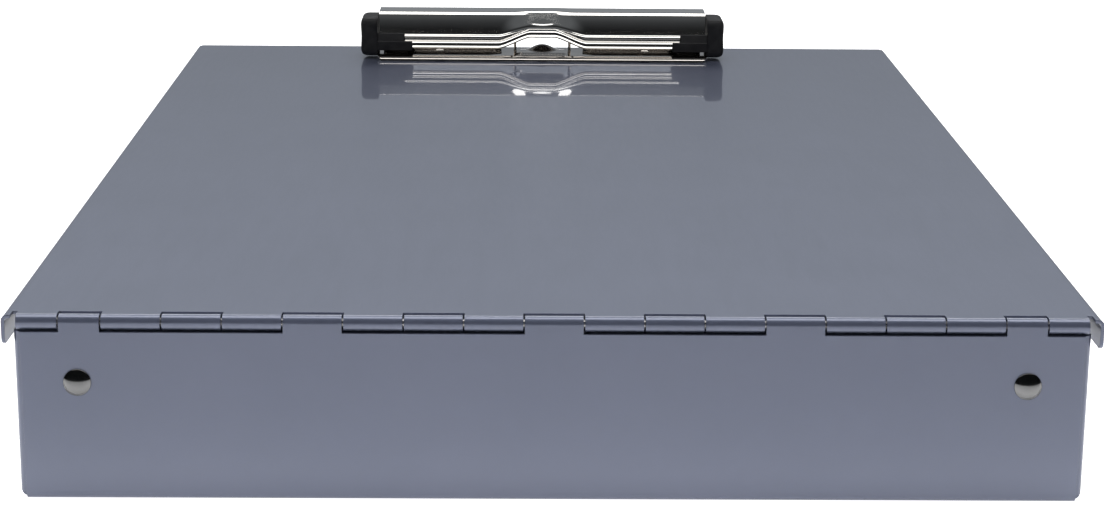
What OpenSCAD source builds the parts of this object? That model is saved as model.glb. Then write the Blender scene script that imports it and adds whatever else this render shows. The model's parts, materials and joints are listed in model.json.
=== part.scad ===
// Two-compartment storage clipboard in sheet aluminium.
// The front (hinge) end is at -Y, the clip end at +Y, and +Z is up.
// The origin is the centre of the flat bottom that the box stands on.

/* [Storage tray] */
// Outside width of the tray, side wall to side wall
tray_w = 234; // [220:1:250]
// Outside length of the tray, front wall to back wall
tray_l = 334; // [320:1:350]
// Height from the bottom to the top of the closed lid
body_h = 42; // [40:0.5:50]
// Thickness of the sheet aluminium
sheet_t = 0.8; // [0.7:0.1:0.9]
// Outside radius of the sheet bends
bend_r = 1.5; // [1.4:0.1:2]
// Length of the corner tabs behind the front and back walls
tab_l = 20; // [18:1:30]
// Height of the rivets that close the tray's corners
rivet_z = 27; // [24:0.5:28]
// Distance from the tray's side to those rivets
rivet_inset = 13.6; // [12:0.2:16]
// Diameter of the domed rivet heads
rivet_d = 6.1; // [5.5:0.1:6.5]
// Height of the domed rivet heads
rivet_head_h = 1.6; // [1.4:0.1:1.8]

/* [Lid] */
// Outside width of the lid over its side flanges
lid_w = 239; // [238:0.5:242]
// Outside length of the lid, front of the hinge to the far flange
lid_l = 336.6; // [336:0.2:338]
// Depth of the flanges around the lid
flange_h = 6.8; // [5:0.1:8]

/* [Divider tray] */
// Depth of the upper compartment, from the divider's floor to the lid
upper_depth = 13; // [12:0.5:14]
// Gap between the divider's walls and the tray's side walls
divider_gap = 0.8; // [0.6:0.1:1.5]

/* [Piano hinge] */
// Outside diameter of the knuckles
knuckle_d = 3.6; // [3.4:0.1:3.8]
// Diameter of the hinge pin
hinge_pin_d = 1.9; // [1.8:0.05:1.9]
// Radial clearance of the pin in the knuckles
hinge_play = 0.05; // [0.03:0.01:0.08]
// Pitch of the wide knuckles
knuckle_pitch = 13.08; // [13:0.02:13.1]
// Pitch of the two narrow knuckles at each end
end_pitch = 9.15; // [9.1:0.05:9.2]
// Gap between neighbouring knuckles
knuckle_gap = 0.4; // [0.3:0.05:0.5]

/* [Clip] */
// Width of the clip's steel plates
clip_w = 111; // [108:1:114]
// Distance from the lid's far edge to the front of the clip's base plate
clip_set_back = 29.7; // [28:0.1:31]
// Depth of the clip's base plate
base_l = 18.4; // [18:0.1:19]
// Thickness of the base plate
base_t = 0.9; // [0.8:0.05:1]
// Thickness of the lever's steel
lever_t = 0.8; // [0.7:0.05:0.9]
// Distance from the base plate's front edge back to the pivot
pivot_y = 14; // [13.5:0.1:14.5]
// Height of the pivot above the lid
pivot_z = 8.7; // [8.5:0.05:8.8]
// Diameter of the pivot pin
pivot_d = 2.6; // [2.4:0.1:2.6]
// Half the clear width between the clip's ears
ear_x = 8.9; // [8.5:0.1:9.5]
// Distance of the two clip rivets from the clip's centre
clip_rivet_x = 35; // [30:1:40]
// Wire diameter of the clip's torsion spring
wire_d = 1.1; // [1:0.05:1.15]
// Number of turns in the spring
spring_turns = 13; // [10:1:13]
// Length of the soft jaw tips beyond the steel plates
tip_out = 5.3; // [4:0.1:6]
// Length of the soft jaw tips under the lever
tip_in = 12; // [10:0.5:14]

/* [Hidden] */
$fn = 48;

// Places that follow from the sizes above
front_y = -(lid_l - rivet_head_h) / 2;
back_y = front_y + tray_l;
knuckle_r = knuckle_d / 2;
bore_r = hinge_pin_d / 2 + hinge_play;
axis_y = front_y + knuckle_r;
axis_z = body_h - knuckle_r;
notch_drop = 1.95;
notch_z = axis_z - notch_drop;
lid_notch_y = axis_y + knuckle_r + 0.1;
wall_top = body_h - sheet_t - 0.3;
relief_x = 90;
shank_r = 1.6;
tail_r = 2.2;
tail_h = 0.8;
lid_inset = 0.6;
divider_head_r = 2.5;
divider_head_h = 0.9;
finger_r = 14;
finger_rise = 6;

// The hinge has 19 knuckles: "L" on the lid, "T" on the tray, "D" on the divider
KNUCKLES = ["L", "T", "L", "D", "L", "T", "L", "D", "L", "T",
    "L", "D", "L", "T", "L", "D", "L", "T", "L"];
last_knuckle = len(KNUCKLES) - 1;
function pitch_of(i) = (i < 2 || i > last_knuckle - 2) ? end_pitch : knuckle_pitch;
function run_to(i) = i == 0 ? 0 : run_to(i - 1) + pitch_of(i - 1);
hinge_w = run_to(last_knuckle + 1);
function knuckle_x(i) = -hinge_w / 2 + run_to(i) + knuckle_gap / 2;
function knuckle_l(i) = pitch_of(i) - knuckle_gap;

// The divider hangs from the rear of its knuckles and ends short of the back rivets
divider_front = axis_y + knuckle_r - sheet_t;
divider_back = back_y - 2 * sheet_t - tail_h - 1.2;
divider_w = tray_w - 2 * sheet_t - 2 * divider_gap;
divider_z = body_h - sheet_t - upper_depth - sheet_t;
divider_top = body_h - sheet_t - 0.5;
divider_rivet_z = divider_z + 7;

// The clip's own places, measured from the base plate's front edge and the lid
clip_y = front_y + lid_l - clip_set_back;
pin_y = clip_y + pivot_y;
pin_z = body_h + pivot_z;
rivet_y = 12.5;
washer_t = 0.8;
washer_r = 4.5;
clip_head_d = 5;
clip_head_h = 1.3;
boss_y = 12.2;
boss_r = 5.6;
boss_h = 1.9;
boss_ball = (boss_r * boss_r + boss_h * boss_h) / (2 * boss_h);
upstand_h = 4.6;
upstand_x = 14;
ear_r = 2.6;
ear_foot = 4;
ear_waist_y = 4.4;
ear_waist_r = 1.8;
lip_y = 4.2;
lip_low = 4.3;
lip_mid = 6.1;
lip_top = 8.4;
ridge_y = 12.5;
ridge_z = 14.3;
tail_y = 24;
tail_rise = 0.45;
rib_rise = 0.7;
rib_x = 8.5;
arch_rise = 3.6;
arch_band = 1.8;
arch_foot = 14.5;
arch_top = 4.5;
base_ear_t = 0.8;
lever_ear_x = ear_x + base_ear_t + 0.3;
pin_reach = 1.6;
cap_r = 2.2;
cap_t = 0.8;
pivot_play = 0.05;
coil_r = pivot_d / 2 + 0.15 + wire_d / 2;

// A box given by its two corners
module span(low, high) {
    translate(low) cube(high - low);
}

// A quarter ring: the bend that joins two sheets at a right angle, along +Z
module bend(height) {
    linear_extrude(height) difference() {
        intersection() {
            circle(bend_r);
            square(bend_r);
        }
        circle(bend_r - sheet_t);
    }
}

// A sheet floor with bends up to its front, back and side walls
module folded_floor(w, y0, y1, z0) {
    span([-w / 2 + bend_r, y0 + bend_r, z0], [w / 2 - bend_r, y1 - bend_r, z0 + sheet_t]);
    for (side = [-1, 1]) {
        translate([side * (w / 2 - bend_r), y0 + bend_r, z0 + bend_r]) rotate([-90, 0, 0])
            rotate(side > 0 ? 0 : 90) bend(y1 - y0 - 2 * bend_r);
        translate([-w / 2 + bend_r, side > 0 ? y1 - bend_r : y0 + bend_r, z0 + bend_r])
            rotate([0, 90, 0]) rotate(side > 0 ? 0 : -90) bend(w - 2 * bend_r);
    }
}

// A side wall with its tabs folded in behind the front and back walls
module side_wall(side, w, y0, y1, z0, z1, tab) {
    inner_y0 = y0 + sheet_t;
    inner_y1 = y1 - sheet_t;
    outer_x = side * w / 2;
    inner_x = side * (w / 2 - sheet_t);
    corner_x = side * (w / 2 - bend_r);
    tab_x = corner_x - side * tab;
    span([min(outer_x, inner_x), inner_y0 + bend_r, z0 + bend_r],
        [max(outer_x, inner_x), inner_y1 - bend_r, z1]);
    for (end = [-1, 1]) {
        y = end < 0 ? inner_y0 + bend_r : inner_y1 - bend_r;
        turn = side > 0 ? (end > 0 ? 0 : -90) : (end > 0 ? 90 : 180);
        translate([corner_x, y, z0 + bend_r]) rotate(turn) bend(z1 - z0 - bend_r);
        tab_y = end < 0 ? inner_y0 : inner_y1 - sheet_t;
        span([min(corner_x, tab_x), tab_y, z0 + bend_r], [max(corner_x, tab_x), tab_y + sheet_t, z1]);
    }
}

// One flat wall across the front or back, from the bend up
module cross_wall(w, y, z0, z1) {
    span([-w / 2 + bend_r, y, z0 + bend_r], [w / 2 - bend_r, y + sheet_t, z1]);
}

// The rolled eyes of one hinge leaf, with bores for the pin
module eyes(leaf) {
    for (i = [0:last_knuckle]) if (KNUCKLES[i] == leaf)
        translate([knuckle_x(i), axis_y, axis_z]) rotate([0, 90, 0])
            cylinder(h = knuckle_l(i), r = knuckle_r);
}

module eye_bores(leaf) {
    for (i = [0:last_knuckle]) if (KNUCKLES[i] == leaf)
        translate([knuckle_x(i) - 1, axis_y, axis_z]) rotate([0, 90, 0])
            cylinder(h = knuckle_l(i) + 2, r = bore_r);
}

// The strips that run from a leaf's sheet into its eyes
module eye_strips(leaf, y0, y1, z0, z1) {
    for (i = [0:last_knuckle]) if (KNUCKLES[i] == leaf)
        span([knuckle_x(i), y0, z0], [knuckle_x(i) + knuckle_l(i), y1, z1]);
}

// A domed rivet along +Z: its head on z = 0, a shank through the grip, and a flat tail
module rivet(head_d, head_h, shank, grip, tail, tail_len) {
    head_r = head_d / 2;
    dome_r = (head_r * head_r + head_h * head_h) / (2 * head_h);
    intersection() {
        translate([0, 0, head_h - dome_r]) sphere(dome_r);
        cylinder(h = head_h, r = head_r);
    }
    translate([0, 0, -grip]) cylinder(h = grip, r = shank);
    translate([0, 0, -grip - tail_len]) cylinder(h = tail_len, r = tail);
}

module rivet_hole(y, x, z) {
    translate([x, y, z]) rotate([90, 0, 0]) cylinder(h = 8, r = shank_r, center = true);
}

// Room around the end knuckles, cut from side walls and tabs behind the wall at y
module hinge_relief(y) {
    for (side = [-1, 1]) span([min(side * tray_w, side * relief_x), y, notch_z],
        [max(side * tray_w, side * relief_x), axis_y + knuckle_r + 0.6, body_h]);
}

module storage_tray() {
    color([0.46, 0.48, 0.54]) difference() {
        union() {
            folded_floor(tray_w, front_y, back_y, 0);
            for (side = [-1, 1]) side_wall(side, tray_w, front_y, back_y, 0, wall_top, tab_l);
            cross_wall(tray_w, front_y, 0, notch_z);
            cross_wall(tray_w, back_y - sheet_t, 0, wall_top);
            eyes("T");
            eye_strips("T", front_y, front_y + sheet_t, notch_z - 1, axis_z);
        }
        eye_bores("T");
        for (side = [-1, 1], y = [front_y, back_y]) rivet_hole(y, side * (tray_w / 2 - rivet_inset), rivet_z);
        // the side walls and tabs drop away below the hinge line
        hinge_relief(front_y + sheet_t);
    }
}

module tray_rivet(side, end) {
    y = end < 0 ? front_y : back_y;
    color([0.78, 0.76, 0.72]) translate([side * (tray_w / 2 - rivet_inset), y, rivet_z])
        rotate([end < 0 ? 90 : -90, 0, 0])
            rivet(rivet_d, rivet_head_h, shank_r, 2 * sheet_t, tail_r, tail_h);
}

module tray_rivet_front_left() {
    tray_rivet(-1, -1);
}

module tray_rivet_front_right() {
    tray_rivet(1, -1);
}

module tray_rivet_back_left() {
    tray_rivet(-1, 1);
}

module tray_rivet_back_right() {
    tray_rivet(1, 1);
}

module divider_tray() {
    color([0.5, 0.52, 0.58]) difference() {
        union() {
            folded_floor(divider_w, divider_front, divider_back, divider_z);
            for (side = [-1, 1])
                side_wall(side, divider_w, divider_front, divider_back, divider_z, divider_top, tab_l);
            cross_wall(divider_w, divider_front, divider_z, notch_z);
            cross_wall(divider_w, divider_back - sheet_t, divider_z, divider_top);
            eyes("D");
            eye_strips("D", divider_front, divider_front + sheet_t, notch_z - 1, axis_z);
        }
        eye_bores("D");
        for (side = [-1, 1], y = [divider_front, divider_back])
            rivet_hole(y, side * (divider_w / 2 - rivet_inset), divider_rivet_z);
        // the side walls and tabs drop away below the hinge line
        hinge_relief(divider_front + sheet_t);
        // a finger notch in the back wall lifts the divider
        translate([0, divider_back, divider_top + finger_rise]) rotate([90, 0, 0])
            cylinder(h = 4 * sheet_t, r = finger_r, center = true);
    }
}

// Four low rivets, with their heads inside the divider's corners
module divider_rivets() {
    color([0.78, 0.76, 0.72]) for (side = [-1, 1], end = [-1, 1]) {
        y = end < 0 ? divider_front + 2 * sheet_t : divider_back - 2 * sheet_t;
        translate([side * (divider_w / 2 - rivet_inset), y, divider_rivet_z])
            rotate([end < 0 ? -90 : 90, 0, 0]) {
                cylinder(h = divider_head_h, r = divider_head_r);
                translate([0, 0, -2 * sheet_t]) cylinder(h = 2 * sheet_t, r = shank_r);
            }
    }
}

module hinge_pin() {
    color([0.8, 0.8, 0.8]) translate([0, axis_y, axis_z]) rotate([0, 90, 0])
        cylinder(h = hinge_w - knuckle_gap, d = hinge_pin_d, center = true);
}

module lid() {
    y1 = front_y + lid_l;
    flange_z = body_h - flange_h;
    color([0.46, 0.48, 0.54]) difference() {
        union() {
            span([-lid_w / 2 + bend_r, lid_notch_y, body_h - sheet_t],
                [lid_w / 2 - bend_r, y1 - bend_r, body_h]);
            for (side = [-1, 1]) {
                translate([side * (lid_w / 2 - bend_r), front_y + lid_inset, body_h - bend_r])
                    rotate([-90, 0, 0]) rotate(side > 0 ? -90 : 180)
                        bend(lid_l - bend_r - 2 * lid_inset);
                outer_x = side * lid_w / 2;
                inner_x = side * (lid_w / 2 - sheet_t);
                span([min(outer_x, inner_x), front_y + lid_inset, flange_z],
                    [max(outer_x, inner_x), y1 - bend_r - lid_inset, body_h - bend_r]);
                // the strip of lid beside the hinge, back to the notch line
                span([min(side * (lid_w / 2 - bend_r), side * (tray_w / 2 + 0.4)), front_y + lid_inset,
                    body_h - sheet_t], [max(side * (lid_w / 2 - bend_r), side * (tray_w / 2 + 0.4)),
                    lid_notch_y, body_h]);
            }
            translate([-lid_w / 2 + bend_r + lid_inset, y1 - bend_r, body_h - bend_r])
                rotate([0, 90, 0]) rotate(90) bend(lid_w - 2 * bend_r - 2 * lid_inset);
            span([-lid_w / 2 + bend_r + lid_inset, y1 - sheet_t, flange_z],
                [lid_w / 2 - bend_r - lid_inset, y1, body_h - bend_r]);
            eyes("L");
            eye_strips("L", axis_y, lid_notch_y + 1, body_h - sheet_t, body_h);
        }
        eye_bores("L");
        for (side = [-1, 1]) translate([side * clip_rivet_x, clip_y + rivet_y, body_h])
            cylinder(h = 4, r = shank_r, center = true);
    }
}

module clip_base_plate() {
    color([0.8, 0.8, 0.82]) difference() {
        union() {
            span([-clip_w / 2, clip_y + base_t / 2, body_h], [clip_w / 2, clip_y + base_l, body_h + base_t]);
            translate([-clip_w / 2, clip_y + base_t / 2, body_h + base_t / 2]) rotate([0, 90, 0])
                cylinder(h = clip_w, d = base_t);
            // a low boss under the lever's arch
            translate([0, clip_y + boss_y, body_h + base_t]) intersection() {
                translate([0, 0, boss_h - boss_ball]) sphere(boss_ball);
                cylinder(h = boss_h, r = boss_r);
            }
            // the back edge is turned up on each side of the middle
            for (low = [-clip_w / 2, upstand_x])
                span([low, clip_y + base_l - base_t, body_h + base_t / 2],
                    [low + clip_w / 2 - upstand_x, clip_y + base_l, body_h + upstand_h]);
            for (side = [-1, 1]) {
                x = side > 0 ? ear_x : -ear_x - base_ear_t;
                translate([x, pin_y, body_h]) rotate([90, 0, 90]) linear_extrude(base_ear_t) union() {
                    translate([-ear_foot, 0]) square([2 * ear_foot, pivot_z]);
                    translate([0, pivot_z]) circle(ear_r);
                }
            }
        }
        for (side = [-1, 1]) translate([side * clip_rivet_x, clip_y + rivet_y, body_h])
            cylinder(h = 4, r = shank_r, center = true);
        translate([0, pin_y, pin_z]) rotate([0, 90, 0])
            cylinder(h = 30, r = pivot_d / 2, center = true);
        // the ears narrow towards the pin
        for (end = [-1, 1]) translate([0, pin_y + end * ear_waist_y, pin_z - 0.6]) rotate([0, 90, 0])
            cylinder(h = 30, r = ear_waist_r, center = true);
    }
}

// Rivet and backing washer that hold the clip on the lid
module clip_rivet(side) {
    grip = base_t + sheet_t + washer_t;
    color([0.78, 0.76, 0.72]) translate([side * clip_rivet_x, clip_y + rivet_y, body_h + base_t])
        rivet(clip_head_d, clip_head_h, shank_r, grip, tail_r, tail_h);
}

module clip_rivet_left() {
    clip_rivet(-1);
}

module clip_rivet_right() {
    clip_rivet(1);
}

module clip_washer(side) {
    color([0.8, 0.8, 0.82]) translate([side * clip_rivet_x, clip_y + rivet_y, body_h - sheet_t - washer_t])
        difference() {
            cylinder(h = washer_t, r = washer_r);
            translate([0, 0, -1]) cylinder(h = 3, r = shank_r);
        }
}

module clip_washer_left() {
    clip_washer(-1);
}

module clip_washer_right() {
    clip_washer(1);
}

module clip_pivot_pin() {
    color([0.75, 0.75, 0.75]) translate([0, pin_y, pin_z]) rotate([0, 90, 0])
        cylinder(h = 2 * (lever_ear_x + lever_t + pin_reach), d = pivot_d, center = true);
}

// Push-on caps that keep the pin in its ears
module pin_clip(side) {
    x = side * (lever_ear_x + lever_t + 0.3 + cap_t / 2);
    color([0.7, 0.7, 0.7]) translate([x, pin_y, pin_z]) rotate([0, 90, 0]) difference() {
        cylinder(h = cap_t, r = cap_r, center = true);
        cylinder(h = 3 * cap_t, r = pivot_d / 2, center = true);
    }
}

module clip_pin_clip_left() {
    pin_clip(-1);
}

module clip_pin_clip_right() {
    pin_clip(1);
}

// A torsion spring around the pin: its close turns as one sleeve, and two legs
module clip_spring() {
    coil_w = (spring_turns + 1) * wire_d;
    color([0.7, 0.7, 0.72]) translate([0, pin_y, pin_z]) {
        difference() {
            rotate([0, 90, 0]) cylinder(h = coil_w, r = coil_r + wire_d / 2, center = true);
            rotate([0, 90, 0]) cylinder(h = coil_w + 2, r = coil_r - wire_d / 2, center = true);
        }
        // one leg runs back and turns out behind the base plate's ear
        translate([(wire_d - coil_w) / 2, 0, -coil_r]) rotate([-90, 0, 0])
            cylinder(h = ear_foot + wire_d, d = wire_d - 0.1);
        translate([(wire_d - coil_w) / 2, ear_foot + wire_d / 2, -coil_r]) rotate([0, -90, 0])
            cylinder(h = ear_x + base_ear_t - (coil_w - wire_d) / 2, d = wire_d - 0.1);
        // the other presses the lever's tail up
        translate([(coil_w - wire_d) / 2, 0, coil_r]) rotate([-71.5, 0, 0])
            cylinder(h = 7, d = wire_d - 0.1);
    }
}

// The lever's section, front lip to tail, as a band of even thickness
function lever_line(d) = [[lip_y - d, lip_low], [lip_y - d, lip_mid + d * 0.3],
    [lip_y + 0.9 - d * 0.6, lip_top + d * 0.5], [ridge_y - 2 - d * 0.6, ridge_z - 1.7 + d * 0.8],
    [ridge_y + 1.5 - d * 0.1, ridge_z - lever_t + d],
    [tail_y - 1.5, ridge_z + tail_rise - lever_t + d],
    [tail_y, ridge_z + tail_rise - 1.1 - lever_t + d]];

module lever_band(low, high) {
    inner = lever_line(0);
    outer = lever_line(lever_t);
    translate([low, clip_y, body_h]) rotate([90, 0, 90]) linear_extrude(high - low)
        polygon(concat(outer, [for (i = [len(inner) - 1:-1:0]) inner[i]]));
}

// The arch in the middle of the lip, as an outline that rises by lift
function arch_line(lift) = [[-arch_foot, lip_low + lift], [-arch_top, lip_low + arch_rise + lift],
    [arch_top, lip_low + arch_rise + lift], [arch_foot, lip_low + lift]];

// A plate standing across the lip, from y0 back to y1, of the given outline
module lip_plate(y0, y1, outline) {
    translate([0, clip_y + y1, body_h]) rotate([90, 0, 0]) linear_extrude(y1 - y0) polygon(outline);
}

module clip_lever() {
    color([0.82, 0.82, 0.84]) difference() {
        union() {
            difference() {
                lever_band(-clip_w / 2, clip_w / 2);
                lip_plate(lip_y - 2, lip_y + 1, concat([[-arch_foot, 0]], arch_line(0), [[arch_foot, 0]]));
            }
            lip_plate(lip_y - lever_t, lip_y, concat(arch_line(0),
                [for (i = [3:-1:0]) arch_line(arch_band)[i]]));
            lever_rib();
            for (side = [-1, 1]) {
                x = side > 0 ? lever_ear_x : -lever_ear_x - lever_t;
                translate([x, pin_y, body_h]) rotate([90, 0, 90]) linear_extrude(lever_t) union() {
                    translate([-ear_r, pivot_z]) square([2 * ear_r, ridge_z - lever_t - pivot_z + 0.3]);
                    translate([0, pivot_z]) circle(ear_r);
                }
            }
        }
        translate([0, pin_y, pin_z]) rotate([0, 90, 0])
            cylinder(h = 2 * (lever_ear_x + 4), r = pivot_d / 2 + pivot_play, center = true);
    }
}

// The pressed rib that runs from the arch over the ridge to the tail
module lever_rib() {
    front = lip_y - lever_t;
    rib_low = lip_low + arch_rise;
    translate([-rib_x, clip_y, body_h]) rotate([90, 0, 90]) linear_extrude(2 * rib_x)
        polygon([[front, rib_low], [front, rib_low + arch_band], [ridge_y - 3.1, ridge_z - 0.6],
            [ridge_y + 1, ridge_z + rib_rise], [tail_y - 5, ridge_z + rib_rise],
            [tail_y - 2.5, ridge_z], [ridge_y + 1.6, ridge_z - 0.5],
            [ridge_y - 2.2, ridge_z - 1.4], [lip_y + 0.9, lip_top + 0.1], [lip_y, rib_low]]);
}

// A soft tip: a rounded cheek past the steel, and a block that grips the lip's end
module jaw_tip(side) {
    x0 = side * (clip_w / 2);
    x1 = side * (clip_w / 2 + tip_out);
    x2 = side * (clip_w / 2 - tip_in);
    cheek_r = 2;
    cheek = [[2.4, 1.3], [17, 13.7]];
    color([0.06, 0.06, 0.06]) union() {
        translate([min(x0, x1), clip_y, body_h]) rotate([90, 0, 90]) linear_extrude(tip_out) union() {
            translate([cheek[0][0], cheek[0][1] + cheek_r])
                square([cheek[1][0] - cheek[0][0], cheek[1][1] - cheek[0][1] - 2 * cheek_r]);
            translate([cheek[0][0] + cheek_r, cheek[0][1]])
                square([cheek[1][0] - cheek[0][0] - 2 * cheek_r, cheek[1][1] - cheek[0][1]]);
            for (y = [cheek[0][0] + cheek_r, cheek[1][0] - cheek_r],
                z = [cheek[0][1] + cheek_r, cheek[1][1] - cheek_r]) translate([y, z]) circle(cheek_r);
        }
        translate([min(x0, x2), clip_y, body_h]) rotate([90, 0, 90]) linear_extrude(tip_in)
            polygon([[2.4, 3.2], [2.4, 6.6], [3.5, 8.8], [4.3, 8.5], [3.3, 6.4], [3.3, 4.2], [4.3, 4.2],
                [4.3, 6.1], [5.2, 8.3], [8, 10.4], [11, 10.4], [11, 3.2]]);
    }
}

module jaw_tip_left() {
    jaw_tip(-1);
}

module jaw_tip_right() {
    jaw_tip(1);
}

storage_tray();
tray_rivet_front_left();
tray_rivet_front_right();
tray_rivet_back_left();
tray_rivet_back_right();
divider_tray();
divider_rivets();
hinge_pin();
lid();
clip_base_plate();
clip_rivet_left();
clip_rivet_right();
clip_washer_left();
clip_washer_right();
clip_pivot_pin();
clip_pin_clip_left();
clip_pin_clip_right();
clip_spring();
clip_lever();
jaw_tip_left();
jaw_tip_right();
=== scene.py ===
"""Storage clipboard: an aluminium form box with a three-leaf piano hinge and a low spring clip.

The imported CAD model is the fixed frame. Every visible piece is rebuilt here as worked sheet metal,
turned rivets, wound wire and moulded rubber, and rides on the body of the node that it stands for.
"""
import json
import logging
import math
from dataclasses import dataclass, field
from enum import Enum
from typing import Iterable, Optional, Sequence

import bmesh
import bpy
from mathutils import Matrix, Vector


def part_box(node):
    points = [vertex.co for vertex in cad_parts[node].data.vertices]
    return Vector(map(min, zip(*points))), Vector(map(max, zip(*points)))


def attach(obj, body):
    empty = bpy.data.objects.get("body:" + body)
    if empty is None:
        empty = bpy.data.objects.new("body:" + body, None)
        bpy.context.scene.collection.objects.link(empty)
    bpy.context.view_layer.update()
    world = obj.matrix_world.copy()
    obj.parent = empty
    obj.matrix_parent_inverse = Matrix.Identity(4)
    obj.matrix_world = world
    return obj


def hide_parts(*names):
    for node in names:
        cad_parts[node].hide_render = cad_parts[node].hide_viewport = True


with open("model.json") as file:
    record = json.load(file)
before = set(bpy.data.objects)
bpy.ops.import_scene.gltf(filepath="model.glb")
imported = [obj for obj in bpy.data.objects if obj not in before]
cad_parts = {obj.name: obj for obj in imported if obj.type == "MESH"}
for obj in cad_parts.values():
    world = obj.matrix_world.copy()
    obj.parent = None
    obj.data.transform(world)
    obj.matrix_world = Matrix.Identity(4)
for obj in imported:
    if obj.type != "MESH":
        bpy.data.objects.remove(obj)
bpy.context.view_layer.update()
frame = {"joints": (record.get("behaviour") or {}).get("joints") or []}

LOG = logging.getLogger("clipboard")
MM = 0.001
TOUCH = 0.01  # millimetres under which two places count as one
Pair = tuple[float, float]
Point = tuple[float, float, float]
Outline = Sequence[Pair]
Mesh = bmesh.types.BMesh
Material = bpy.types.Material
Socket = bpy.types.NodeSocket
Thing = bpy.types.Object


class Body(Enum):
    """The rigid bodies of the frame."""

    TRAY = "tray"
    DIVIDER = "divider"
    LID = "lid"
    LEVER = "lever"


class Leaf(Enum):
    """Which sheet a hinge knuckle is rolled from."""

    LID = "L"
    TRAY = "T"
    DIVIDER = "D"


def corners(node: str) -> tuple[Vector, Vector]:
    """Gives a CAD node's lowest and highest corner, in millimetres.

    Args:
        node: Name of the node.

    Returns:
        The two corners.
    """
    low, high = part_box(node)
    return low / MM, high / MM


def joint_place(name: str) -> Vector:
    """Gives a joint's place in the frame, in millimetres."""
    return Vector(next(j for j in frame["joints"] if j["name"] == name)["pos_m"]) / MM


def frame_height() -> float:
    """Gives the height of the closed lid's top, in millimetres."""
    return corners("lid")[1].z


def arc(centre: Pair, radius: float, start: float, end: float, steps: int) -> list[Pair]:
    """Gives points along a circular arc.

    Args:
        centre: Centre of the circle.
        radius: Radius of the circle.
        start: First angle, in degrees.
        end: Last angle, in degrees.
        steps: Number of chords.

    Returns:
        steps + 1 points, both ends included.
    """
    angles = [math.radians(start + (end - start) * k / steps) for k in range(steps + 1)]
    return [(centre[0] + radius * math.cos(a), centre[1] + radius * math.sin(a)) for a in angles]


def smooth_step(value: float, low: float, high: float) -> float:
    """Gives 0 below low, 1 above high and a smooth rise between."""
    t = min(1.0, max(0.0, (value - low) / (high - low)))
    return t * t * (3 - 2 * t)


# ---------------------------------------------------------------- finishes


class NodeBench:
    """A material's node tree, with short calls that add and join nodes."""

    def __init__(self, name: str) -> None:
        """Makes an empty node material with a Principled shader.

        Args:
            name: Name of the material.
        """
        self.material = bpy.data.materials.new(name)
        self.material.use_nodes = True
        self.tree = self.material.node_tree
        self.shader = self.tree.nodes["Principled BSDF"]
        self.place = self.add("ShaderNodeTexCoord").outputs["Object"]

    def add(self, kind: str, **settings: object) -> bpy.types.Node:
        """Adds one node and sets its properties."""
        node = self.tree.nodes.new(kind)
        for key, value in settings.items():
            setattr(node, key, value)
        return node

    def join(self, source: Socket, target: Socket) -> None:
        """Links two sockets."""
        self.tree.links.new(source, target)

    def set(self, **values: object) -> None:
        """Sets constant values on the shader's own sockets, with _ for a space in a name."""
        for key, value in values.items():
            self.shader.inputs[key.replace("_", " ")].default_value = value

    def noise(self, size_mm: float, detail: float = 4.0, stretch: Point = (1, 1, 1)) -> Socket:
        """Adds noise of one size.

        Args:
            size_mm: Size of the noise's features, in millimetres.
            detail: Number of octaves.
            stretch: Scale along each axis; a small value draws the noise out.

        Returns:
            The noise's value.
        """
        mapping = self.add("ShaderNodeMapping")
        mapping.inputs["Scale"].default_value = stretch
        self.join(self.place, mapping.inputs["Vector"])
        noise = self.add("ShaderNodeTexNoise")
        noise.inputs["Scale"].default_value = 1.0 / (size_mm * MM)
        noise.inputs["Detail"].default_value = detail
        self.join(mapping.outputs["Vector"], noise.inputs["Vector"])
        return noise.outputs["Fac"]

    def spread(self, source: Socket, low: float, high: float) -> Socket:
        """Maps a noise's middle range on to low..high."""
        node = self.add("ShaderNodeMapRange")
        node.inputs["From Min"].default_value = 0.3
        node.inputs["From Max"].default_value = 0.7
        node.inputs["To Min"].default_value = low
        node.inputs["To Max"].default_value = high
        self.join(source, node.inputs["Value"])
        return node.outputs["Result"]

    def tones(self, source: Socket, dark: Point, light: Point) -> None:
        """Colours the shader between two tones of the base colour."""
        ramp = self.add("ShaderNodeValToRGB")
        ramp.color_ramp.elements[0].position = 0.3
        ramp.color_ramp.elements[0].color = (*dark, 1)
        ramp.color_ramp.elements[1].position = 0.7
        ramp.color_ramp.elements[1].color = (*light, 1)
        self.join(source, ramp.inputs["Fac"])
        self.join(ramp.outputs["Color"], self.shader.inputs["Base Color"])

    def sheen(self, finish: "Finish", tone: Socket, gloss: Socket) -> None:
        """Gives the shader a finish's two tones and its roughness, each varied by one noise."""
        self.tones(tone, finish.dark, finish.light)
        self.join(self.spread(gloss, *finish.roughness), self.shader.inputs["Roughness"])

    def bumps(self, layers: Iterable[tuple[Socket, float, float]]) -> None:
        """Stacks bump layers into the shader's normal.

        Args:
            layers: For each layer its height source, its strength and its depth in millimetres.
        """
        below: Optional[Socket] = None
        for source, strength, depth in layers:
            bump = self.add("ShaderNodeBump")
            bump.inputs["Strength"].default_value = strength
            bump.inputs["Distance"].default_value = depth * MM
            self.join(source, bump.inputs["Height"])
            if below is not None:
                self.join(below, bump.inputs["Normal"])
            below = bump.outputs["Normal"]
        if below is not None:
            self.join(below, self.shader.inputs["Normal"])


@dataclass(frozen=True)
class Finish:
    """What every finish has: a name, a dark and a light tone, and a range of roughness."""

    name: str
    dark: Point
    light: Point
    roughness: Pair


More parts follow.
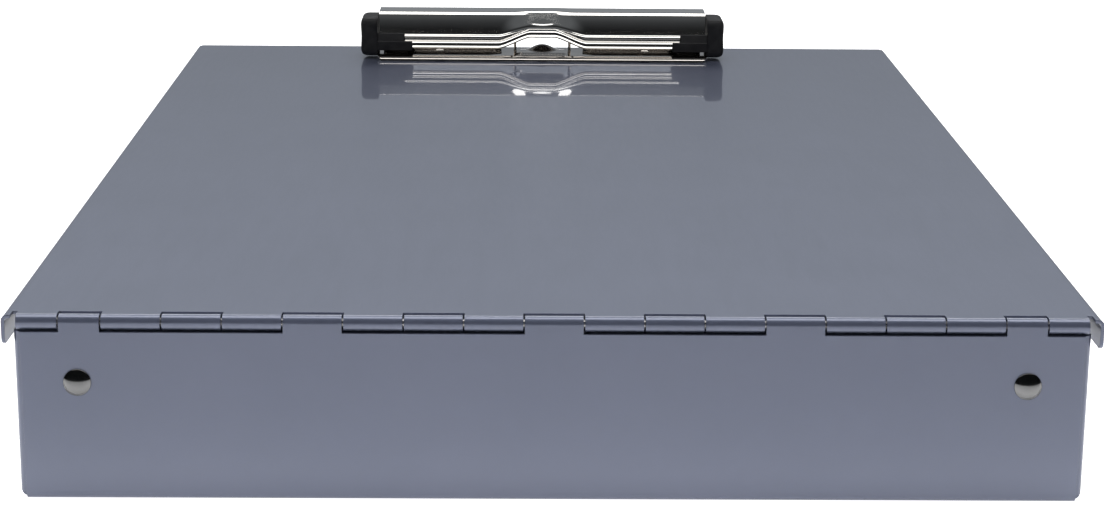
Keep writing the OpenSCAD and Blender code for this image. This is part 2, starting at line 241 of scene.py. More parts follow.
@dataclass(frozen=True)
class CoatedAluminium(Finish):
    """Rolled aluminium sheet under a thin satin coat: soft cloudy tone and a faint orange peel."""

    dark: Point = (0.126, 0.143, 0.208)
    light: Point = (0.135, 0.152, 0.220)
    roughness: Pair = (0.36, 0.40)
    metallic: float = 0.55
    coat: float = 1.0
    coat_roughness: float = 0.03

    def make(self) -> Material:
        """Builds the material."""
        bench = NodeBench(self.name)
        cloud = bench.noise(38.0, 3.0)
        grain = bench.noise(0.9, 2.0)
        rolling = bench.noise(2.4, 2.0, (1.0, 0.15, 1.0))
        bench.sheen(self, cloud, rolling)
        bench.set(Metallic=self.metallic, Coat_Weight=self.coat, Coat_Roughness=self.coat_roughness)
        bench.set(Coat_IOR=1.5)
        bench.bumps([(rolling, 0.04, 0.02), (grain, 0.08, 0.02)])
        return bench.material


@dataclass(frozen=True)
class NickelPlate(Finish):
    """Bright nickel over pressed steel, with faint polishing lines."""

    dark: Point = (0.66, 0.64, 0.61)
    light: Point = (0.72, 0.70, 0.67)
    roughness: Pair = (0.05, 0.09)
    lines: Point = (0.05, 1.0, 1.0)
    wave: float = 0.01

    def make(self) -> Material:
        """Builds the material."""
        bench = NodeBench(self.name)
        haze = bench.noise(9.0, 3.0)
        lines = bench.noise(0.35, 3.0, self.lines)
        ripple = bench.noise(7.0, 1.0, (0.4, 1.0, 1.0))
        bench.sheen(self, haze, lines)
        bench.set(Metallic=1.0)
        bench.bumps([(ripple, self.wave, 0.1), (lines, 0.008, 0.01)])
        return bench.material


@dataclass(frozen=True)
class DrawnSteel(Finish):
    """Steel wire or rod with fine lines drawn along it."""

    dark: Point = (0.40, 0.39, 0.38)
    light: Point = (0.52, 0.51, 0.50)
    roughness: Pair = (0.22, 0.36)

    def make(self) -> Material:
        """Builds the material."""
        bench = NodeBench(self.name)
        lines = bench.noise(0.25, 3.0, (0.06, 1.0, 1.0))
        stain = bench.noise(3.0, 3.0)
        bench.sheen(self, stain, lines)
        bench.set(Metallic=1.0)
        bench.bumps([(lines, 0.15, 0.01)])
        return bench.material


@dataclass(frozen=True)
class SoftRubber(Finish):
    """Matt black rubber with a fine moulded skin and a little dust."""

    dark: Point = (0.006, 0.006, 0.007)
    light: Point = (0.014, 0.014, 0.015)
    roughness: Pair = (0.50, 0.70)

    def make(self) -> Material:
        """Builds the material."""
        bench = NodeBench(self.name)
        skin = bench.noise(0.22, 2.0)
        dust = bench.noise(2.5, 4.0)
        bench.sheen(self, dust, dust)
        bench.set(Specular_IOR_Level=0.3)
        bench.bumps([(skin, 0.25, 0.03), (dust, 0.1, 0.05)])
        return bench.material


# ---------------------------------------------------------------- making pieces


def add_piece(name: str, mesh: Mesh, body: Body, finish: Material,
              stands_for: Sequence[str]) -> Thing:
    """Turns a mesh into a smooth-shaded piece that rides on a body.

    Args:
        name: Name of the piece.
        mesh: The mesh, in metres and in its final place. It is freed.
        body: The body that the piece moves with.
        finish: The material.
        stands_for: The CAD nodes that the piece replaces.

    Returns:
        The new object.
    """
    data = bpy.data.meshes.new(name)
    for face in mesh.faces:
        face.smooth = True
    mesh.to_mesh(data)
    mesh.free()
    piece = bpy.data.objects.new(name, data)
    bpy.context.scene.collection.objects.link(piece)
    return dress(piece, body, finish, stands_for)


def dress(piece: Thing, body: Body, finish: Material,
          stands_for: Sequence[str]) -> Thing:
    """Gives a piece its material, its body and the CAD nodes that it replaces."""
    piece.data.materials.append(finish)
    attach(piece, body.value)
    if stands_for:
        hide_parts(*stands_for)
    LOG.info("made %s for %s", piece.name, ", ".join(stands_for) or "no CAD node")
    return piece


def add_sheet_stack(piece: Thing, gauge: float, edge: float, flat: bool = True) -> None:
    """Gives a one-sided mesh its metal thickness, inwards, and soft cut edges.

    Args:
        piece: The piece.
        gauge: Thickness, in millimetres.
        edge: Width of the edge's bevel, in millimetres.
        flat: Whether the large faces stay flat in shading.
    """
    solid = piece.modifiers.new("gauge", "SOLIDIFY")
    solid.thickness = gauge * MM
    solid.offset = -1
    solid.use_even_offset = True
    add_edge_bevel(piece, edge, flat)


def add_edge_bevel(piece: Thing, edge: float, flat: bool = True, angle: float = 50.0) -> None:
    """Softens a piece's sharp edges.

    Args:
        piece: The piece.
        edge: Width of the bevel, in millimetres.
        flat: Whether the large faces stay flat in shading.
        angle: Smallest edge angle that is softened, in degrees.
    """
    bevel = piece.modifiers.new("edges", "BEVEL")
    bevel.width = edge * MM
    bevel.segments = 2
    bevel.limit_method = "ANGLE"
    bevel.angle_limit = math.radians(angle)
    bevel.use_clamp_overlap = True
    bevel.loop_slide = False
    if flat:
        flats = piece.modifiers.new("flats", "WEIGHTED_NORMAL")
        flats.weight = 100
        flats.keep_sharp = False


def add_subdivision(piece: Thing, levels: int) -> None:
    """Adds a live Subdivision Surface with equal view and render levels."""
    subdivision = piece.modifiers.new("form", "SUBSURF")
    subdivision.levels = levels
    subdivision.render_levels = levels


class SheetBlank:
    """Ruled strips of sheet metal in millimetres, welded where their edges meet."""

    def __init__(self) -> None:
        """Starts an empty blank."""
        self.mesh = bmesh.new()

    def strip(self, rows: Sequence[Sequence[Point]]) -> None:
        """Adds a grid of faces through rows of points, all of one length."""
        grid = [[self.mesh.verts.new(Vector(p) * MM) for p in row] for row in rows]
        for row, after in zip(grid, grid[1:]):
            for k in range(len(row) - 1):
                self.mesh.faces.new((row[k], row[k + 1], after[k + 1], after[k]))

    def weld(self, outside: Point) -> Mesh:
        """Joins the strips and turns every face outwards.

        Args:
            outside: The direction that the largest face looks towards.

        Returns:
            The welded mesh.
        """
        bmesh.ops.remove_doubles(self.mesh, verts=self.mesh.verts, dist=0.004 * MM)
        flat = [f for f in self.mesh.faces if f.calc_area() < 1e-12]
        bmesh.ops.delete(self.mesh, geom=flat, context="FACES")
        bmesh.ops.recalc_face_normals(self.mesh, faces=self.mesh.faces)
        main = max(self.mesh.faces, key=lambda f: f.calc_area())
        if main.normal.dot(Vector(outside)) < 0:
            bmesh.ops.reverse_faces(self.mesh, faces=self.mesh.faces)
        return self.mesh


def turned(profile: Outline, place: Matrix, steps: int = 48) -> Mesh:
    """Turns a profile about its axis with a Screw modifier, applied at the origin, then places it.

    Args:
        profile: Points of radius and height in millimetres, from top to bottom at +X.
        place: Where the piece's own frame lies, in metres.
        steps: Steps of a full turn.

    Returns:
        The turned and closed mesh, in its place.
    """
    data = bpy.data.meshes.new("turning")
    data.from_pydata([(r * MM, 0, z * MM) for r, z in profile],
                     [(k, k + 1) for k in range(len(profile) - 1)], [])
    work = bpy.data.objects.new("turning", data)
    bpy.context.scene.collection.objects.link(work)
    screw = work.modifiers.new("turn", "SCREW")
    screw.steps = screw.render_steps = steps
    screw.use_merge_vertices = True
    screw.merge_threshold = 0.002 * MM
    screw.use_smooth_shade = True
    mesh = bmesh.new()
    mesh.from_object(work, bpy.context.evaluated_depsgraph_get())
    bpy.data.objects.remove(work)
    bpy.data.meshes.remove(data)
    bmesh.ops.remove_doubles(mesh, verts=mesh.verts, dist=0.002 * MM)
    bmesh.ops.recalc_face_normals(mesh, faces=mesh.faces)
    mesh.transform(place)
    return mesh


def merge_into(target: Mesh, source: Mesh) -> None:
    """Adds one mesh to another and frees it."""
    data = bpy.data.meshes.new("merge")
    source.to_mesh(data)
    source.free()
    target.from_mesh(data)
    bpy.data.meshes.remove(data)


def facing(place: Vector, direction: Vector) -> Matrix:
    """Gives the placement of a piece whose own +Z points along direction, at a place in millimetres."""
    turn = direction.to_track_quat("Z", "Y").to_matrix().to_4x4()
    return Matrix.Translation(place * MM) @ turn


def standing(low: Vector, high: Vector, seat: float) -> Matrix:
    """Gives the upright placement of a piece in the middle of a node's box, seated at a height."""
    return facing(Vector(((low.x + high.x) / 2, (low.y + high.y) / 2, seat)), Vector((0, 0, 1)))


def flap(x: float, outline: Outline) -> Mesh:
    """Makes one upright face across X from an outline of Y and Z, looking away from the middle."""
    mesh = bmesh.new()
    face = mesh.faces.new([mesh.verts.new(Vector((x, y, z)) * MM) for y, z in outline])
    face.normal_update()
    if face.normal.x * x < 0:
        bmesh.ops.reverse_faces(mesh, faces=[face])
    return mesh


# ---------------------------------------------------------------- the sheet-metal box


@dataclass
class PianoHinge:
    """The hinge line: nineteen knuckles rolled from three sheets around one pin."""

    knuckle_d: float = 3.6
    gauge: float = 0.8
    wide_pitch: float = 13.08
    end_pitch: float = 9.15
    gap: float = 0.3
    sweep: float = 288.0
    roll_steps: int = 24
    order: str = "LTLDLTLDLTLDLTLDLTL"
    notch_drop: float = 1.85
    lid_clearance: float = 0.1
    pan_clearance: float = 0.6
    wall_drop: float = 0.3
    axis: Vector = field(default_factory=Vector)

    def __post_init__(self) -> None:
        """Reads the axis from the frame's lid joint."""
        self.axis = joint_place("lid_hinge")

    @property
    def radius(self) -> float:
        """Outside radius of a knuckle."""
        return self.knuckle_d / 2

    @property
    def notch(self) -> float:
        """Height that the tray's and the divider's sheets are notched to under the knuckles."""
        return self.axis.z - self.notch_drop

    def knuckles(self, leaf: Leaf) -> list[Pair]:
        """Lists the two ends along X of each knuckle of one leaf."""
        pitches = [self.end_pitch if k < 2 or k > len(self.order) - 3 else self.wide_pitch
                   for k in range(len(self.order))]
        start = -sum(pitches) / 2
        spans = []
        for letter, pitch in zip(self.order, pitches):
            if letter == leaf.value:
                spans.append((start + self.gap / 2, start + pitch - self.gap / 2))
            start += pitch
        return spans

    def roll(self, radius: float, start: float, turn: int) -> list[Pair]:
        """Gives the rolled part of a knuckle's section as points of Y and Z."""
        return arc((self.axis.y, self.axis.z), radius, start, start + turn * self.sweep, self.roll_steps)

    def add_tongues(self, blank: SheetBlank, leaf: Leaf, section: Outline) -> None:
        """Adds every knuckle of a leaf to a blank.

        Args:
            blank: The leaf's sheet.
            leaf: The leaf.
            section: The tongue's section from the sheet's notch line to the roll's end.
        """
        for low, high in self.knuckles(leaf):
            blank.strip([[(low, y, z), (high, y, z)] for y, z in section])


@dataclass
class FoldedPan:
    """An open box folded from one sheet: floor, cross walls, and side walls with corner tabs."""

    hinge: PianoHinge
    leaf: Leaf
    width: float
    front: float
    back: float
    low: float
    top: float
    tongue: Outline
    tab: float = 20.0
    bend: float = 1.5
    gauge: float = 0.8
    bend_steps: int = 6

    def build(self) -> Mesh:
        """Builds the pan's outer face as one welded blank."""
        blank = SheetBlank()
        notch = self.hinge.notch
        inner_front, inner_back = self.front + self.gauge + self.bend, self.back - self.gauge - self.bend
        relief = max(self.hinge.axis.y + self.hinge.radius + self.hinge.pan_clearance, inner_front)
        edge = self.width / 2 - self.bend
        across = sorted({-edge, edge} | {x for pair in self.hinge.knuckles(self.leaf) for x in pair})
        floor_rows = sorted({self.front + self.bend, inner_front, relief, inner_back, self.back - self.bend})
        front_bend = arc((self.front + self.bend, self.low + self.bend), self.bend, 180, 270, self.bend_steps)
        back_bend = arc((self.back - self.bend, self.low + self.bend), self.bend, 270, 360, self.bend_steps)
        line = ([(self.front, notch)] + front_bend[:-1] + [(y, self.low) for y in floor_rows]
                + back_bend[1:] + [(self.back, self.top)])
        blank.strip([[(x, y, z) for x in across] for y, z in line])
        self.hinge.add_tongues(blank, self.leaf, self.tongue)
        for side in (-1, 1):
            self.add_side(blank, side, edge, (inner_front, relief, inner_back), notch)
        return blank.weld((0, 0, -1))

    def add_side(self, blank: SheetBlank, side: int, edge: float, rows: tuple[float, float, float],
                 notch: float) -> None:
        """Adds a side wall, its floor bend, its corner bends and its tabs.

        Args:
            blank: The blank to add to.
            side: -1 for the left wall and 1 for the right.
            edge: Distance from the middle to the floor's bend line.
            rows: Y of the front corner, of the hinge relief and of the back corner.
            notch: Height that the wall drops to beside the hinge.
        """
        rise = self.low + self.bend
        bend = arc((edge, rise), self.bend, 270, 360, self.bend_steps)
        for y0, y1, top in ((rows[0], rows[1], notch), (rows[1], rows[2], self.top)):
            if y1 - y0 < TOUCH:
                continue
            heights = [notch] if top == notch else [notch, top]
            section = bend + [(edge + self.bend, z) for z in heights]
            blank.strip([[(side * x, y, z) for x, z in section] for y in (y0, y1)])
        for y, sign, top in ((rows[0], -1, notch), (rows[2], 1, self.top)):
            corner = arc((edge, y), self.bend, 0, sign * 90, self.bend_steps)
            plan = corner + [(edge - self.tab, y + sign * self.bend)]
            heights = [rise, notch] if top == notch else [rise, notch, top]
            blank.strip([[(side * x, v, z) for z in heights] for x, v in plan])


@dataclass
class StorageTray:
    """The box itself, with its corner rivets and the long hinge pin."""

    hinge: PianoHinge
    cut_edge: float = 0.14
    lift: float = 0.02
    head: float = 1.6

    def make(self, sheet: Material, rivet: Material, pin: Material) -> None:
        """Builds the tray, its four rivets and the pin."""
        low, high = corners("storage_tray")
        notch = self.hinge.notch
        tongue = [(low.y, notch)] + self.hinge.roll(self.hinge.radius, 180, -1)
        wall_top = high.z - self.hinge.gauge - self.hinge.wall_drop
        pan = FoldedPan(self.hinge, Leaf.TRAY, high.x - low.x, low.y, high.y, low.z + self.lift, wall_top,
                        tongue)
        piece = add_piece("tray_sheet", pan.build(), Body.TRAY, sheet, ["storage_tray"])
        add_sheet_stack(piece, self.hinge.gauge, self.cut_edge)
        for node in ("tray_rivet_front_left", "tray_rivet_front_right", "tray_rivet_back_left",
                     "tray_rivet_back_right"):
            self.make_rivet(node, rivet)
        self.make_pin(pin)

    def make_rivet(self, node: str, finish: Material) -> None:
        """Builds one domed corner rivet with its upset tail.

        Args:
            node: The rivet's CAD node.
            finish: Its material.
        """
        low, high = corners(node)
        outwards = -1 if low.y < 0 else 1
        wall = (low.y + self.head) if outwards < 0 else (high.y - self.head)
        place = facing(Vector(((low.x + high.x) / 2, wall, (low.z + high.z) / 2)), Vector((0, outwards, 0)))
        profile = DomedRivet(head_r=(high.x - low.x) / 2, head=self.head, grip=2 * self.hinge.gauge).profile()
        add_piece(node + "_metal", turned(profile, place, 56), Body.TRAY, finish, [node])

    def make_pin(self, finish: Material) -> None:
        """Builds the hinge pin, with its ends rounded off."""
        low, high = corners("hinge_pin")
        length, radius, round_off = high.x - low.x, (high.z - low.z) / 2, 0.25
        profile = [(0, length)] + [(radius - round_off + x, length - round_off + z)
                                   for x, z in arc((0, 0), round_off, 90, 0, 4)]
        profile += [(radius - round_off + x, round_off + z) for x, z in arc((0, 0), round_off, 0, -90, 4)]
        profile.append((0, 0))
        place = facing(Vector((low.x, self.hinge.axis.y, self.hinge.axis.z)), Vector((1, 0, 0)))
        rod = turned(profile, place, 24)
        add_piece("hinge_pin_rod", rod, Body.TRAY, finish, ["hinge_pin"])


@dataclass(frozen=True)
class DomedRivet:
    """A rivet's turned outline: a domed head with a small foot, a shank and a rolled tail."""

    head_r: float
    head: float
    grip: float
    shank_r: float = 1.6
    tail_r: float = 2.15
    tail: float = 0.78
    foot: float = 0.22
    steps: int = 12

    def profile(self) -> list[Pair]:
        """Gives the outline from the crown of the head down to the tail."""
        rise = self.head - self.foot
        ball = (self.head_r ** 2 + rise ** 2) / (2 * rise)
        reach = math.degrees(math.asin(self.head_r / ball))
        dome = arc((0, self.head - ball), ball, 90, 90 - reach * 0.93, self.steps)
        foot = [(self.head_r - 0.03, self.foot + 0.1), (self.head_r, self.foot * 0.5),
                (self.head_r - 0.08, 0)]
        low = -self.grip - self.tail
        tail = [(self.shank_r, 0), (self.shank_r, -self.grip), (self.tail_r - 0.1, -self.grip),
                (self.tail_r, -self.grip - 0.15), (self.tail_r - 0.12, low + 0.15), (self.tail_r - 0.45, low),
                (0.9, low), (0.7, low + 0.25), (0, low + 0.32)]
        return [(max(x, 0.0), z) for x, z in dome] + foot + tail


@dataclass
class DividerTray:
    """The shallow inner pan that hangs from the hinge's middle leaf."""

    hinge: PianoHinge
    cut_edge: float = 0.14
    finger_r: float = 14.0
    finger_drop: float = 8.0
    finger_cuts: int = 16
    rim_drop: float = 0.5
    head_r: float = 2.5
    head: float = 0.9

    def make(self, sheet: Material, rivet: Material) -> None:
        """Builds the divider and its low corner rivets."""
        low, high = corners("divider_tray")
        inner = self.hinge.radius - self.hinge.gauge
        front = self.hinge.axis.y + inner
        notch = self.hinge.notch
        tongue = [(front, notch)] + self.hinge.roll(inner, 0, 1)
        top = frame_height() - self.hinge.gauge - self.rim_drop
        pan = FoldedPan(self.hinge, Leaf.DIVIDER, high.x - low.x, front, high.y, low.z, top, tongue)
        mesh = pan.build()
        self.cut_finger_notch(mesh, high.y, top)
        piece = add_piece("divider_sheet", mesh, Body.DIVIDER, sheet, ["divider_tray"])
        add_sheet_stack(piece, self.hinge.gauge, self.cut_edge)
        self.make_rivets(rivet)

    def cut_finger_notch(self, mesh: Mesh, back: float, top: float) -> None:
        """Dips the back wall's top edge in the middle, where a finger lifts the pan.

        Args:
            mesh: The pan's mesh.
            back: Y of the back wall's outer face.
            top: Height of the wall's top edge.
        """
        rim = [e for e in mesh.edges if e.is_boundary and all(abs(v.co.y / MM - back) < TOUCH
               and abs(v.co.z / MM - top) < TOUCH for v in e.verts)]
        middle = [e for e in rim if min(v.co.x for v in e.verts) < 0 < max(v.co.x for v in e.verts)]
        for edge in middle:
            ring = [e for f in edge.link_faces for e in f.edges
                    if e is not edge and not set(e.verts) & set(edge.verts)]
            made = bmesh.ops.subdivide_edges(mesh, edges=[edge] + ring, cuts=self.finger_cuts,
                                             use_grid_fill=True)
            for item in made["geom_inner"] + made["geom_split"]:
                if isinstance(item, bmesh.types.BMVert) and abs(item.co.z / MM - top) < TOUCH:
                    x = item.co.x / MM
                    depth = self.finger_r ** 2 - x ** 2
                    drop = math.sqrt(depth) - (self.finger_r - self.finger_drop) if depth > 0 else 0.0
                    item.co.z -= max(0.0, drop) * MM

    def make_rivets(self, finish: Material) -> None:
        """Builds the four low rivets with their heads inside the pan."""
        low, high = corners("divider_rivets")
        head_r, head = self.head_r, self.head
        mesh = bmesh.new()
        for x in (low.x + head_r, high.x - head_r):
            for y, inwards in ((low.y, 1), (high.y, -1)):
                seat = y + inwards * 2 * self.hinge.gauge
                place = facing(Vector((x, seat, (low.z + high.z) / 2)), Vector((0, inwards, 0)))
                profile = [(0, head), (1.2, head * 0.97), (1.9, head * 0.8), (2.35, head * 0.45),
                           (head_r, 0.12), (head_r - 0.05, 0), (1.6, 0), (1.6, -2 * self.hinge.gauge),
                           (0, -2 * self.hinge.gauge)]
                merge_into(mesh, turned(profile, place, 40))
        add_piece("divider_rivet_set", mesh, Body.DIVIDER, finish, ["divider_rivets"])


@dataclass
class Lid:
    """The writing plate: a flat sheet with folded side and far flanges and the hinge's upper leaf."""

    hinge: PianoHinge
    bend: float = 1.5
    inset: float = 0.6
    cut_edge: float = 0.14
    bend_steps: int = 6
    corner: float = 1.6

    def make(self, sheet: Material) -> None:
        """Builds the lid."""
        low, high = corners("lid")
        piece = add_piece("lid_sheet", self.build(low, high), Body.LID, sheet, ["lid"])
        add_sheet_stack(piece, self.hinge.gauge, self.cut_edge)

    def build(self, low: Vector, high: Vector) -> Mesh:
        """Builds the lid's outer face as one welded blank.

        Args:
            low: The lid's lowest corner.
            high: The lid's highest corner.

        Returns:
            The mesh.
        """
        blank = SheetBlank()
        top, far = high.z, high.y
        edge, rim = high.x - self.bend, far - self.bend
        notch = self.hinge.axis.y + self.hinge.radius + self.hinge.lid_clearance
        near = low.y + self.inset
        side_end = far - self.bend - self.inset
        beside = edge - self.inset
        across = sorted({-edge, edge, -beside, beside}
                        | {x for pair in self.hinge.knuckles(Leaf.LID) for x in pair})
        near_rows, far_rows = self.rounded_rows(near, side_end)
        blank.strip([[(x, y, top) for x in across] for y in [notch] + far_rows + [rim]])
        section = [(notch, top)] + self.hinge.roll(self.hinge.radius, 90, 1)
        self.hinge.add_tongues(blank, Leaf.LID, section)
        for side in (-1, 1):
            blank.strip([[(side * beside, y, top), (side * edge, y, top)] for y in near_rows + [notch]])
            self.add_side_flange(blank, side, edge, near_rows + [notch] + far_rows, (top, low.z))
        between = [x for x in across if abs(x) <= beside + TOUCH]
        far_bend = arc((rim, top - self.bend), self.bend, 90, 0, self.bend_steps)
        rows = [[(x, y, z) for x in between] for y, z in far_bend]
        rows.append([(x, far, low.z) for x in between])
        blank.strip(rows)
        return blank.weld((0, 0, 1))

    def rounded_rows(self, near: float, end: float) -> tuple[list[float], list[float]]:
        """Gives the flange's rows along Y through its two rounded lower corners."""
        steps = [self.corner * (1 - math.cos(math.radians(a))) for a in (0, 18, 36, 54, 72, 90)]
        return [near + step for step in steps], [end - step for step in reversed(steps)]

    def add_side_flange(self, blank: SheetBlank, side: int, edge: float, rows: Sequence[float],
                        heights: Pair) -> None:
        """Adds one side flange with its bend and its rounded lower corners.

        Args:
            blank: The blank to add to.
            side: -1 for the left flange and 1 for the right.
            edge: Distance from the middle to the bend line.
            rows: Y of each row, from the hinge to the far end.
            heights: Height of the lid's top and of the flange's lower edge.
        """
        top, low = heights
        bend = arc((edge, top - self.bend), self.bend, 90, 0, self.bend_steps)
        strip = []
        for y in rows:
            short = max(self.corner - (y - rows[0]), self.corner - (rows[-1] - y), 0.0)
            lift = self.corner - math.sqrt(max(self.corner ** 2 - short ** 2, 0.0))
            strip.append([(side * x, y, z) for x, z in bend] + [(side * (edge + self.bend), y, low + lift)])
        blank.strip(strip)


# ---------------------------------------------------------------- the clip


@dataclass
class ClipPlaces:
    """Where the clip's pieces lie: the base plate's front edge, the lid's top and the pivot."""

    front: float = 0.0
    deck: float = 0.0
    pivot: Vector = field(default_factory=Vector)
    half_width: float = 0.0

    def __post_init__(self) -> None:
        """Reads the places from the frame."""
        low, high = corners("clip_base_plate")
        self.front, self.half_width = low.y, high.x
        self.deck = frame_height()
        self.pivot = joint_place("clip_lever_pivot")

    def at(self, x: float, y: float, z: float) -> Point:
        """Turns a place measured from the base plate's front edge and the lid into the frame's."""
        return (x, self.front + y, self.deck + z)


@dataclass
class ClipBase:
    """The plate riveted on the lid: a low boss, two ears for the pivot, and its rivets and washers."""

    places: ClipPlaces
    gauge: float = 0.9
    boss_y: float = 12.2
    boss_r: float = 6.0
    boss_h: float = 1.9
    corner: float = 1.2
    hump: float = 0.45
    upstand_x: float = 14.0
    upstand_h: float = 4.55
    upstand_bend: float = 0.35
    edge: float = 0.14
    ear_x: float = 9.7
    ear_r: float = 2.55
    ear_foot: float = 4.0

    def make(self, plate: Material, rivet: Material, washer: Material) -> None:
        """Builds the plate, its rivets and their washers."""
        low, high = corners("clip_base_plate")
        mesh = self.plate_mesh(high.y - low.y)
        for side in (-1, 1):
            merge_into(mesh, self.ear_mesh(side))
        piece = add_piece("clip_base_metal", mesh, Body.LID, plate, ["clip_base_plate"])
        add_sheet_stack(piece, self.gauge, self.edge, False)
        for side in ("left", "right"):
            self.make_rivet(side, rivet)
            self.make_washer(side, washer)

    def plate_mesh(self, depth: float) -> Mesh:
        """Builds the plate's top face: its front rolled down, the boss pressed up, the back turned up.

        Args:
            depth: Depth of the plate from its front edge, in millimetres.

        Returns:
            The mesh.
        """
        blank = SheetBlank()
        half = self.places.half_width
        columns = {0.0, half}
        columns |= {k * 0.8 for k in range(11)} | {half - self.corner * (1 - math.cos(math.radians(a)))
                                                    for a in (30, 60, 90)}
        columns |= {self.upstand_x, 18.0, 25.0, 32.0, 40.0, 47.0}
        columns = sorted({round(s * x, 4) for x in columns for s in (-1, 1)})
        front = {0.0: -0.75, 0.06: -0.52, 0.18: -0.40, 0.34: -0.33, 0.8: -0.185, 1.26: -0.05, 1.45: -0.01}
        rows = list(front) + [2.2, 3.5, 5.0, 6.4]
        inner = depth - self.gauge
        rows += [7.4 + k * 0.8 for k in range(12)] + [inner - self.upstand_bend]
        grid = []
        for y in rows:
            row = []
            for x in columns:
                inset = max(0.0, self.corner - y)
                limit = half - (self.corner - math.sqrt(max(self.corner ** 2 - inset ** 2, 0.0)))
                away = math.hypot(x, y - self.boss_y)
                rise = self.boss_h * (1 - smooth_step(away, 0.4, self.boss_r))
                hump = self.hump * smooth_step(y, 1.3, 7.0) * (1 - smooth_step(y, 9.0, 16.0))
                hump *= 1 - smooth_step(abs(x), 8.0, self.upstand_x)
                row.append(self.places.at(math.copysign(min(abs(x), limit), x), y,
                                          self.gauge + front.get(y, 0.0) + rise + hump))
            grid.append(row)
        blank.strip(grid)
        reach = half - self.corner - self.upstand_x
        for side in (-1, 1):
            span = [x for x in columns if -TOUCH <= side * x - self.upstand_x <= reach + TOUCH]
            bend = self.upstand_bend
            turn = arc((inner - bend, self.gauge + bend), bend, 270, 360, 4)
            strip = [[self.places.at(x, y, z) for x in span] for y, z in turn]
            strip.append([self.places.at(x, inner, self.upstand_h) for x in span])
            blank.strip(strip)
        return blank.weld((0, 0, 1))

    def ear_mesh(self, side: int) -> Mesh:
        """Builds one ear's outer face, standing on the plate, with a round head about the pivot."""
        y, z = self.places.pivot.y, self.places.pivot.z
        foot = self.places.deck + self.gauge - 0.1
        side_line = [(self.ear_foot, foot), (self.ear_foot, foot + 1.2), (self.ear_r + 0.3, foot + 3.0)]
        outline = [(y - out, height) for out, height in side_line]
        outline += arc((y, z), self.ear_r, 180, 0, 16)
        outline += [(y + out, height) for out, height in reversed(side_line)]
        return flap(side * self.ear_x, outline)

    def make_rivet(self, side: str, finish: Material) -> None:
        """Builds one of the two rivets that hold the plate on the lid."""
        node = f"clip_rivet_{side}"
        low, high = corners(node)
        place = standing(low, high, self.places.deck + self.gauge)
        head_r = (high.x - low.x) / 2
        outline = DomedRivet(head_r=head_r, head=1.3, grip=2.5, tail_r=2.25, tail=0.88).profile()
        add_piece(node + "_metal", turned(outline, place, 48), Body.LID, finish, [node])

    def make_washer(self, side: str, finish: Material) -> None:
        """Builds one backing washer under the lid."""
        node = f"clip_washer_{side}"
        low, high = corners(node)
        radius, bore, thick, ease = (high.x - low.x) / 2, 1.62, high.z - low.z, 0.12
        outline = [(bore, thick - ease), (bore + ease, thick), (radius - ease, thick), (radius, thick - ease),
                   (radius, ease), (radius - ease, 0), (bore + ease, 0), (bore, ease), (bore, thick - ease)]
        place = standing(low, high, low.z)
        add_piece(node + "_metal", turned(outline, place, 48), Body.LID, finish, [node])


